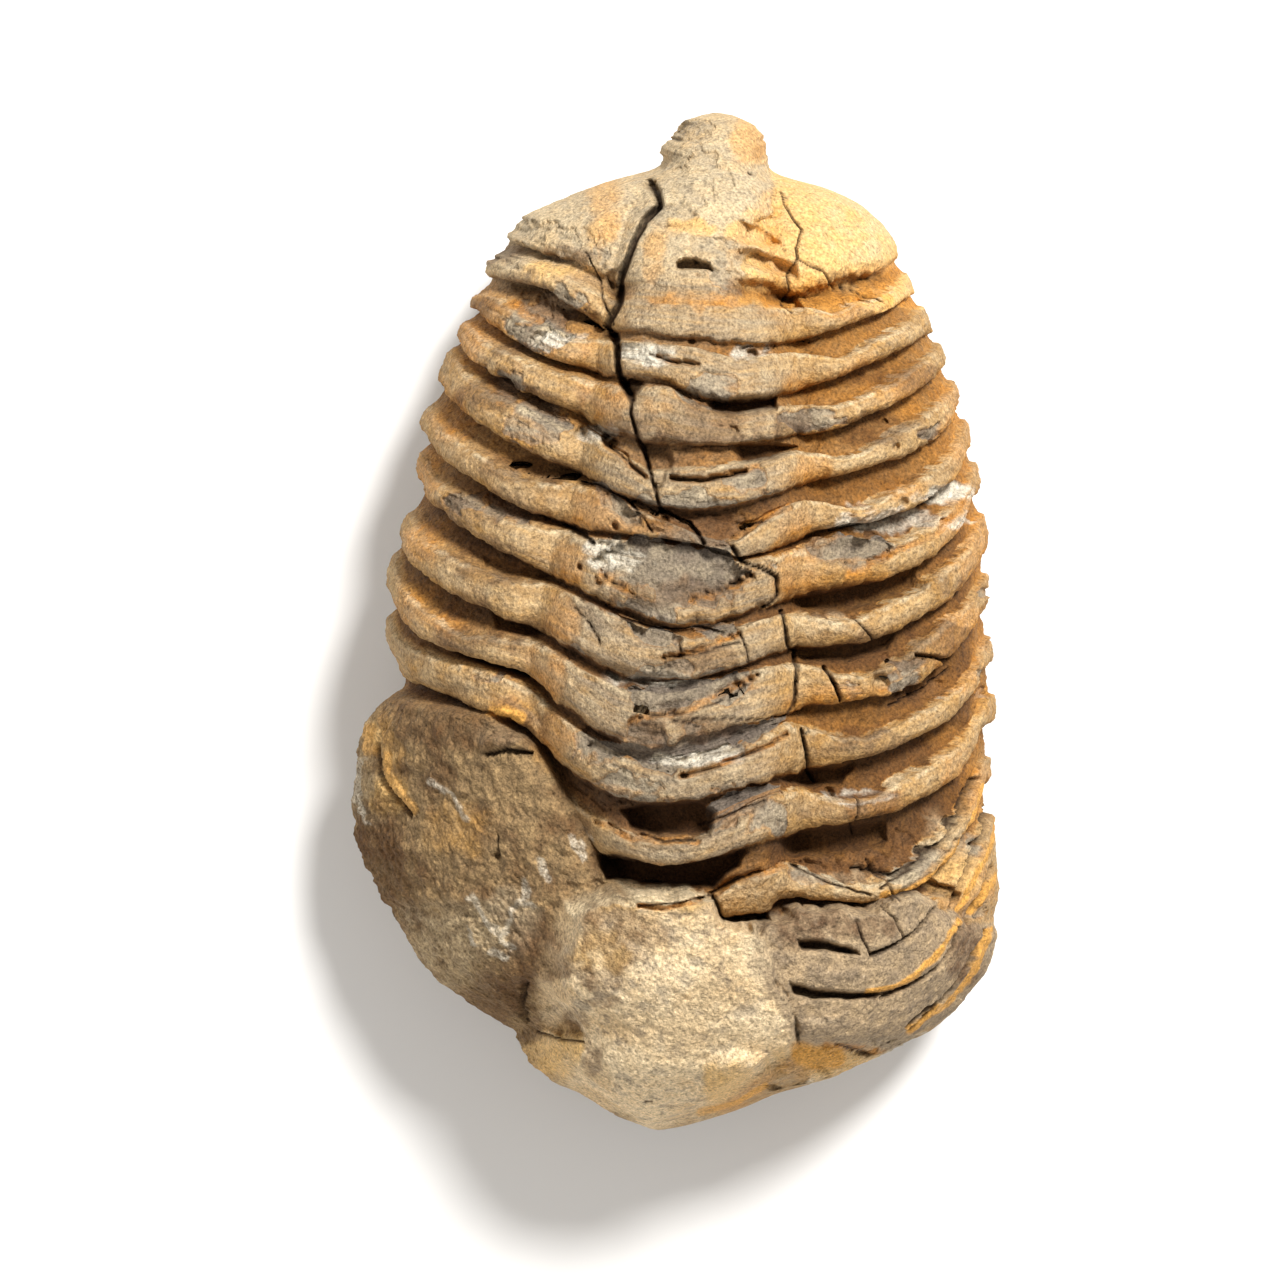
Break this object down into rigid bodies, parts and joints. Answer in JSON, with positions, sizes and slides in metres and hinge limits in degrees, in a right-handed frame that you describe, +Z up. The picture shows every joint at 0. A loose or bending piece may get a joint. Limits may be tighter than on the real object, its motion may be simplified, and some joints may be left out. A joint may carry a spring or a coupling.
{
  "type": "fossil trilobite",
  "caption": "Large fossil trilobite in ochre limestone, belly down: ribbed three-lobed back, tail shield with a worn stub, broken head with a lump of matrix.",
  "frame": {"origin": "middle of the object's bounding box, on the surface that it lies on", "axes": "+Z up through the back, +Y along the back towards the tail, +X towards the side with the broken cheek"},
  "size_m": [0.0644, 0.102, 0.0467],
  "materials": {
    "fossil_stone": "matte"
  },
  "bodies": {
    "root": {"trilobite": "fossil_stone"}
  },
  "joints": []
}
